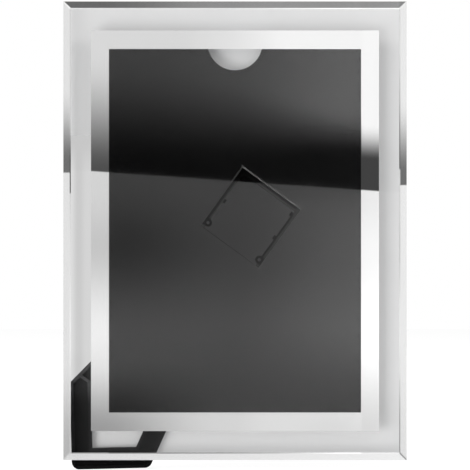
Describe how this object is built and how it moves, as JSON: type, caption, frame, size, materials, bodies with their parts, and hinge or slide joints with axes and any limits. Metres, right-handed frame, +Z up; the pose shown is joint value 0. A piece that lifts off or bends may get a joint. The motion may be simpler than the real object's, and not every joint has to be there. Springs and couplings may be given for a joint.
{
  "type": "certificate frame",
  "caption": "Bevelled glass certificate frame with a mirrored border, a black slip-in back panel and a folding easel leg.",
  "frame": {"origin": "middle of the box round the part at its lowest point, which is the folded leg's foot; the glass's lower edge is 8.3 mm above it", "axes": "+X to the right as one faces the glass, -Y out of the front of the glass, +Z up in portrait"},
  "size_m": [0.268, 0.0176, 0.3663],
  "materials": {
    "glass": "clear float glass with a polished bevel",
    "silvering": "silvered on the back of the glass",
    "backing_paint": "matt grey mirror backing paint",
    "foam_tape": "black double-sided foam tape",
    "panel": "satin black sheet",
    "moulding": "satin black moulding",
    "pin": "drawn steel wire"
  },
  "bodies": {
    "frame": {"glass_pane": "glass", "mirror_border": "silvering", "border_paint": "backing_paint", "mirror_rim": "silvering", "rim_paint": "backing_paint", "tape_left": "foam_tape", "tape_right": "foam_tape", "tape_bottom": "foam_tape", "back_panel": "panel", "hinge_block": "moulding", "hinge_pin": "pin"},
    "easel_leg": {"leg": "moulding"}
  },
  "joints": [
    {"name": "leg_hinge", "type": "hinge", "parent": "frame", "child": "easel_leg", "pos_m": [-0.00426, 0.00583, 0.1748], "axis": [0.809, 0, -0.5878], "range_deg": [0, 35]}
  ]
}
